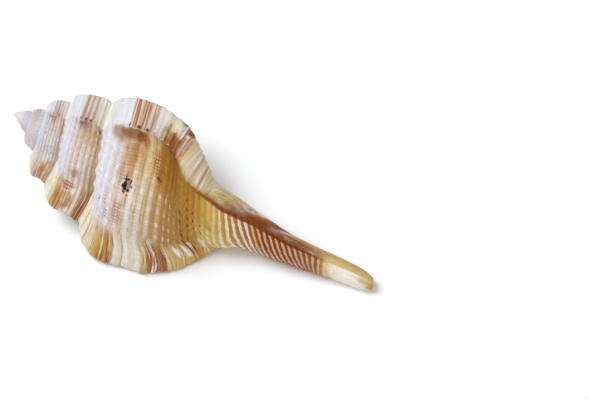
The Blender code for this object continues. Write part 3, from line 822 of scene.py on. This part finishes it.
# Rays of pigment on the crests of the varices, with gaps of white.
gaps = add("MapRange", [noises["ray"], 0.46, 0.62, 0.0, 0.85], **SMOOTH)
long_gaps = add("MapRange", [noises["long streak"], 0.54, 0.66, 0.0, 0.7], **SMOOTH)
long_lines = add("MapRange", [noises["long streak"], 0.46, 0.34, 0.0, 0.6], **SMOOTH)
lip_rays = add("MixRGB", [long_gaps, band["crest in the lip row"], linear("#E6DCCA")])
lip_rays = add("MixRGB", [long_lines, lip_rays, linear("#C08848")], blend_type="MULTIPLY")
older_rays = add("MixRGB", [gaps, band["face in the older row"], linear("#DAD6D2")])
crest = add("MixRGB", [on_back, older_rays, lip_rays])
near_crest = add("MapRange", [ragged_h, 0.80, 0.92, 0.0, 1.0], **SMOOTH)
above_neck = add("MapRange", [cord, 16.5, 19.0, 1.0, 0.0], **SMOOTH)
near_crest = add("Math", [near_crest, above_neck], operation="MULTIPLY")
colour = add("MixRGB", [near_crest, colour, crest])
face = add("MixRGB", [on_back, lip_rays, older_rays])
on_face = add("MapRange", [h, 0.022, 0.032, 1.0, 0.0], **SMOOTH)
colour = add("MixRGB", [on_face, colour, face])

# The older varix runs on down the back of the canal, worn smooth.
canal_back = band["back of the canal"]
for low, high, first, last, streak in (
    (0.5, 0.6, 24.5, 23.0, "#94602E"), (0.53, 0.63, 24.0, 25.0, "#DCCDC4"),
):
    lines = add("MapRange", [noises["canal streak"], low, high, 0.0, 0.6])
    lines = add("Math", [lines, add("MapRange", [cord, first, last, 0.0, 1.0])], operation="MULTIPLY")
    lines = add("Math", [lines, add("MapRange", [cord, 36.0, 34.0, 0.0, 1.0])], operation="MULTIPLY")
    canal_back = add("MixRGB", [lines, canal_back, linear(streak)])
top_edge = add("Math", [
    add("MapRange", [h, 0.022, 0.013, 0.0, 1.0], **SMOOTH), add("MapRange", [across, 27.5, 30.0, 0.0, 1.0]),
], operation="MULTIPLY")
canal_back = add("MixRGB", [top_edge, canal_back, linear("#C8A062")])
up_to_crease = add("MapRange", [h, 0.026, 0.04, 1.0, 0.0], **SMOOTH)
on_canal_back = add("Math", [up_to_crease, on_back], operation="MULTIPLY")
on_canal_back = add("Math", [
    on_canal_back, add("MapRange", [cord, 16.5, 18.5, 0.0, 1.0]),
], operation="MULTIPLY")
colour = add("MixRGB", [on_canal_back, colour, canal_back])

# The spire is older and paler: worn to a lilac grey.
age = add("MapRange", [turn, -0.95, -1.45, 0.0, 0.42], **SMOOTH)
age = add("Math", [age, add("MapRange", [h, 0.032, 0.05, 0.3, 1.0])], operation="MULTIPLY")
age = add("Math", [age, add("MapRange", [turn, -1.9, -3.5, 0.0, 0.5])], operation="ADD")
colour = add("MixRGB", [age, colour, linear("#D4CDD2")])

# White beads stand where the cords cross the wider ridges of growth. Their cool white is partly painted
# highlight, where the bead tops catch the light.
bead_place = add("Math", [
    add("MapRange", [ridge, 0.7, 0.96, 0.0, 1.0]), add("MapRange", [waves["bead"], 0.5, 0.95, 0.0, 0.8]),
], operation="MULTIPLY")
white_and_lit_beads = add("Math", [
    add("MapRange", [ragged_h, 0.34, 0.5, 0.0, 1.0]), add("MapRange", [cord, 13.0, 10.0, 0.0, 1.0]),
], operation="MULTIPLY")
white_and_lit_beads = add("Math", [
    white_and_lit_beads, add("MapRange", [noises["cord streak"], 0.38, 0.5, 0.25, 1.0]),
], operation="MULTIPLY")
white_and_lit_beads = add("Math", [white_and_lit_beads, add("MapRange", [h, 0.80, 0.88, 1.0, 0.0])], operation="MULTIPLY")
white_and_lit_beads = add("Math", [white_and_lit_beads, bead_place], operation="MULTIPLY")
colour = add("MixRGB", [white_and_lit_beads, colour, linear("#ECEAF0")])

# Patches, stains and dashes of pigment, with a few pale patches that are painted highlights on the lip's
# flare and a tan patch that is painted shade beside a varix of the spire: what breaks each up, its colour
# and strength, its middle by turn and cord, and its half length and half width.
PATCHES = (
    ("all", "#A88062", 0.85, -0.430, 3.0, 0.048, 1.5),
    ("all", "#8E5E34", 0.85, -0.446, 4.5, 0.038, 1.6),
    ("all", "#8A4A14", 0.90, -0.440, 5.5, 0.036, 0.7),
    ("streaks", "#9A6024", 0.85, -0.415, 5.9, 0.034, 0.7),
    ("grid", "#A8642A", 0.45, -0.36, 4.9, 0.050, 0.9),
    ("grid", "#A86C30", 0.40, -0.29, 4.5, 0.050, 0.7),
    ("grid", "#9A5A14", 0.80, -0.35, 8.6, 0.090, 1.6),
    ("all", "#A8742C", 0.55, -0.33, 9.0, 0.080, 1.2),
    ("grid", "#A86A2E", 0.60, -0.15, 4.5, 0.050, 0.5),
    ("threads", "#B06A34", 0.70, -0.165, 3.1, 0.018, 0.14),
    ("threads", "#B06A34", 0.70, -0.120, 3.4, 0.022, 0.16),
    ("threads", "#A8602C", 0.70, -0.145, 2.3, 0.016, 0.12),
    ("threads", "#A8602C", 0.70, -0.090, 2.7, 0.016, 0.12),
    ("all", "#6A3414", 0.95, -0.297, 8.2, 0.007, 0.23),
    ("all", "#94744C", 0.75, -0.249, 5.12, 0.0225, 0.45),
    ("all", "#1E140E", 1.00, -0.244, 4.97, 0.0160, 0.13),
    ("all", "#17110C", 1.00, -0.261, 4.85, 0.033, 0.12),
    ("all", "#1E140E", 1.00, -0.266, 4.80, 0.0032, 0.36),
    ("all", "#2E2018", 1.00, -0.260, 5.34, 0.0100, 0.16),
    ("all", "#1E140E", 1.00, -0.244, 4.65, 0.0076, 0.14),
    ("all", "#4A3020", 0.90, -0.242, 5.50, 0.006, 0.08),
    ("all", "#2A1C12", 1.00, -0.231, 5.24, 0.006, 0.16),
    ("all", "#4A3424", 0.90, -0.226, 4.82, 0.0047, 0.16),
    ("all", "#6A4420", 0.90, -0.215, 5.19, 0.0035, 0.16),
    ("dashes", "#84440C", 1.00, -0.23, 12.6, 0.100, 0.18),
    ("dashes", "#84440C", 1.00, -0.26, 13.9, 0.130, 0.20),
    ("dashes", "#84440C", 1.00, -0.28, 15.0, 0.110, 0.18),
    ("dashes", "#8A4C10", 0.90, -0.25, 16.2, 0.080, 0.20),
    ("all", "#8F7A3C", 0.45, -0.32, 17.6, 0.030, 0.6),
    ("all", "#8C7038", 0.45, -0.17, 15.2, 0.030, 0.45),
    # Pale patches on the lip's flare: painted highlights where its cords catch the light.
    ("all", "#EEE8DC", 0.95, -0.052, 10.9, 0.024, 0.32),
    ("all", "#EEE8DC", 0.95, -0.056, 12.1, 0.030, 0.30),
    ("all", "#EAE0D6", 0.85, -0.075, 13.2, 0.020, 0.28),
    ("all", "#EAE2D0", 0.85, -0.115, 15.9, 0.050, 0.60),
    ("all", "#84440C", 1.00, -0.085, 12.8, 0.090, 0.20),
    ("all", "#84440C", 1.00, -0.075, 13.7, 0.075, 0.18),
    ("all", "#9A5A1C", 0.80, -0.080, 14.5, 0.060, 0.12),
    ("all", "#8E4E1C", 0.70, -0.070, 16.9, 0.080, 0.16),
    ("streaks", "#9A5E1C", 0.85, -0.020, 4.0, 0.016, 0.6),
    ("streaks", "#8A4610", 0.95, -0.008, 4.2, 0.009, 0.4),
    ("all", "#7A3606", 0.90, -0.476, 25.5, 0.018, 12.0),
    ("all", "#8A4A18", 1.00, -0.5005, 10.9, 0.003, 0.6),
    ("all", "#94541E", 1.00, -0.5005, 9.7, 0.003, 0.4),
    ("all", "#AC7634", 1.00, -0.4885, 9.3, 0.006, 1.8),
    ("streaks", "#7A3E10", 1.00, -0.4885, 9.3, 0.006, 1.8),
    ("all", "#84440F", 0.80, -0.4875, 9.5, 0.003, 0.5),
    ("streaks", "#8A4A18", 0.90, -0.4935, 11.0, 0.003, 0.7),
    ("all", "#CCA868", 0.60, -0.42, 39.3, 0.050, 0.5),
    ("all", "#C29A58", 0.75, -0.34, 39.9, 0.120, 0.35),
    # Next, a tan patch beside the older varix of the spire: painted shade next to the varix.
    ("all", "#A8806F", 0.80, -1.44, 5.1, 0.050, 1.4),
    ("all", "#8C5230", 0.55, -1.450, 4.6, 0.016, 0.9),
    ("all", "#84502C", 0.80, -1.430, 8.4, 0.024, 0.6),
    ("streaks", "#BC9048", 0.75, -1.37, 7.0, 0.080, 2.0),
    ("grid", "#A0562A", 0.75, -1.14, 5.2, 0.030, 0.8),
    ("grid", "#A0562A", 0.75, -1.07, 4.5, 0.018, 1.4),
    ("streaks", "#B0702A", 0.85, -1.03, 4.8, 0.024, 2.1),
    ("streaks", "#96603E", 0.80, -2.455, 4.4, 0.022, 1.6),
    ("all", "#B98F62", 0.70, -2.42, 4.9, 0.070, 0.7),
    ("all", "#B8925A", 0.60, -2.33, 8.3, 0.080, 0.8),
    ("streaks", "#C28A44", 0.90, -2.03, 6.5, 0.034, 2.4),
    ("streaks", "#A8642C", 0.65, -2.02, 5.5, 0.022, 2.5),
    ("streaks", "#B89470", 0.55, -2.60, 3.0, 0.100, 1.6),
    ("streaks", "#BA9878", 0.60, -3.42, 4.0, 0.200, 3.0),
)
for pattern, pigment, strength, at_turn, at_cord, half_length, half_width in PATCHES:
    local = add("Mapping", {
        "Vector": ragged, "Location": (at_turn, at_cord, 0), "Scale": (half_length, half_width, 1),
    }, vector_type="TEXTURE")
    distance = add("VectorMath", [local], operation="LENGTH").node.outputs["Value"]
    share = add("MapRange", [distance, 1.15, 0.55, 0.0, strength], **SMOOTH)
    share = add("Math", [share, breaks[pattern]], operation="MULTIPLY")
    colour = add("MixRGB", [share, colour, linear(pigment)])

# Where a new half turn starts on the older varix, a thin scalloped white line of enamel joins them,
# with dark dashes in the furrows above it.
scalloped = add("Math", [ridge, -0.006, h], operation="MULTIPLY_ADD")
from_line = add("Math", [add("Math", [scalloped, 0.0275], operation="SUBTRACT")], operation="ABSOLUTE")
upper_cords = add("MapRange", [cord, 10.5, 8.5, 0.0, 1.0])
line = add("MapRange", [from_line, 0.0036, 0.0022, 0.0, 0.7])
line = add("Math", [line, upper_cords], operation="MULTIPLY")
colour = add("MixRGB", [line, colour, linear("#E6E0E2")])
from_dashes = add("Math", [add("Math", [h, 0.0255], operation="SUBTRACT")], operation="ABSOLUTE")
dashes = add("MapRange", [from_dashes, 0.003, 0.0015, 0.0, 1.0])
dashes = add("Math", [
    dashes, add("MapRange", [noises["cord streak"], 0.42, 0.5, 0.0, 1.0]),
], operation="MULTIPLY")
dashes = add("Math", [dashes, breaks["furrows"]], operation="MULTIPLY")
dashes = add("Math", [dashes, add("MapRange", [cord, 3.0, 3.6, 0.0, 1.0])], operation="MULTIPLY")
dashes = add("Math", [dashes, add("MapRange", [cord, 7.2, 6.4, 0.0, 1.0])], operation="MULTIPLY")
dashes = add("Math", [dashes, on_back], operation="MULTIPLY")
colour = add("MixRGB", [dashes, colour, linear("#7A3A12")])

# Growth lines tint the whole surface lightly, and grain keeps it from being even.
for tone, low, high, dark, light in (
    (noises["growth streak"], 0.35, 0.7, 0.9, 1.05), (waves["thread"], 0.0, 0.5, 0.97, 1.0),
    (noises["grain"], 0.3, 0.7, 0.94, 1.04),
):
    tint = add("MapRange", [tone, low, high, dark, light])
    colour = add("MixRGB", [1.0, colour, tint], blend_type="MULTIPLY")

# Inside the mouth the enamel is cream, deepening to fawn up the hollow.
inside = add("Attribute", attribute_name="inside").node.outputs["Fac"]
enamel = add("MapRange", [inside, 0.05, 0.5, 0.0, 1.0], **SMOOTH)
colour = add("MixRGB", [enamel, colour, linear("#EFE6D8")])

# Threads, streaks and grain too fine for the mesh stand up to 0.12 mm high outside and fade out on the
# enamel, which is smoother and glossier than the worn outside.
height = add("Math", [waves["thread"], 0.3, noises["growth streak"]], operation="MULTIPLY_ADD")
height = add("Math", [waves["fine"], 0.3, height], operation="MULTIPLY_ADD")
height = add("Math", [noises["grain"], 0.3, height], operation="MULTIPLY_ADD")
outside_only = add("Math", [0.5, enamel], operation="SUBTRACT", use_clamp=True)
bump = add("Bump", {"Strength": outside_only, "Distance": 0.00012, "Height": height})
polish = add("MapRange", [noises["cord streak"], 0.3, 0.7, 0.34, 0.5])
worn = add("Math", [enamel, -0.18, polish], operation="MULTIPLY_ADD")
gloss = add("MapRange", [enamel, 0.0, 1.0, 0.12, 0.5])
tree.links.new(colour, surface.inputs["Base Color"])
tree.links.new(bump, surface.inputs["Normal"])
tree.links.new(worn, surface.inputs["Roughness"])
tree.links.new(gloss, surface.inputs["Specular IOR Level"])
surface.inputs["IOR"].default_value = 1.53
shell.data.materials.append(aragonite)


# FLOOR. A plain pale studio sheet that the shell lies on.
bpy.ops.mesh.primitive_plane_add(size=4, location=(0, 0, 0))
floor = bpy.context.object
floor.name = "floor"
paper = bpy.data.materials.new("matt white paper")
paper.use_nodes = True
paper.node_tree.nodes["Principled BSDF"].inputs["Base Color"].default_value = linear("#FBFBFB")
paper.node_tree.nodes["Principled BSDF"].inputs["Roughness"].default_value = 0.9
floor.data.materials.append(paper)


# CAMERA AND LIGHT. The camera looks squarely at the shell's back, turned so that the shell lies at its
# slant in the picture. The picture is 0.1187 m wide there, and its middle is this many of its 589 pixels
# to the right of the tip of the spire and below it. Two large soft lamps stand round it.
PICTURE_WIDTH = 0.1187
PIXELS_ACROSS = 589
MIDDLE_RIGHT_OF_TIP = 280.5
MIDDLE_BELOW_TIP = 87
SPIRE_TIP_HEIGHT = 12.223
LEAN = 28
CAMERA_DISTANCE = 0.9
SENSOR_WIDTH = 36
LAMP_DISTANCE = 0.8
axes = Euler((math.radians(REST_ROLL), math.radians(REST_PITCH), 0)).to_matrix()
lean = math.radians(LEAN)
right = axes @ Vector((math.cos(lean), math.sin(lean), 0))
up = axes @ Vector((-math.sin(lean), math.cos(lean), 0))
back = axes @ Vector((0, 0, 1))
pixel = PICTURE_WIDTH / PIXELS_ACROSS
spire_tip = Vector((*SPIRE_TIP_AT_REST, SPIRE_TIP_HEIGHT)) / 1000
look_at = spire_tip + right * MIDDLE_RIGHT_OF_TIP * pixel - up * MIDDLE_BELOW_TIP * pixel
camera_data = bpy.data.cameras.new("camera")
camera_data.sensor_width = SENSOR_WIDTH
camera_data.lens = SENSOR_WIDTH * CAMERA_DISTANCE / PICTURE_WIDTH
camera_data.clip_start = 0.01
camera = bpy.data.objects.new("camera", camera_data)
bpy.context.scene.collection.objects.link(camera)
turned_to_shell = Matrix((right, up, back)).transposed().to_4x4()
camera.matrix_world = Matrix.Translation(look_at + back * CAMERA_DISTANCE) @ turned_to_shell
bpy.context.scene.camera = camera

for name, direction, power, width, tone in (
    ("soft key from the upper left", -0.75 * right + 0.75 * up + 0.9 * back, 5.8, 0.5, (0.93, 0.96, 1.0)),
    ("weak fill from the lower right", 0.9 * right - 0.6 * up + 0.6 * back, 2.8, 0.7, (1.0, 0.95, 0.88)),
):
    light = bpy.data.lights.new(name, "AREA")
    light.energy = power
    light.size = width
    light.color = tone
    lamp = bpy.data.objects.new(name, light)
    bpy.context.scene.collection.objects.link(lamp)
    lamp.location = look_at + direction.normalized() * LAMP_DISTANCE
    lamp.rotation_mode = "QUATERNION"
    lamp.rotation_quaternion = direction.to_track_quat("Z", "Y")
world = bpy.data.worlds.new("studio")
world.use_nodes = True
world.node_tree.nodes["Background"].inputs["Color"].default_value = (0.94, 0.97, 1, 1)
world.node_tree.nodes["Background"].inputs["Strength"].default_value = 0.42
bpy.context.scene.world = world
bpy.context.scene.view_settings.view_transform = "Standard"
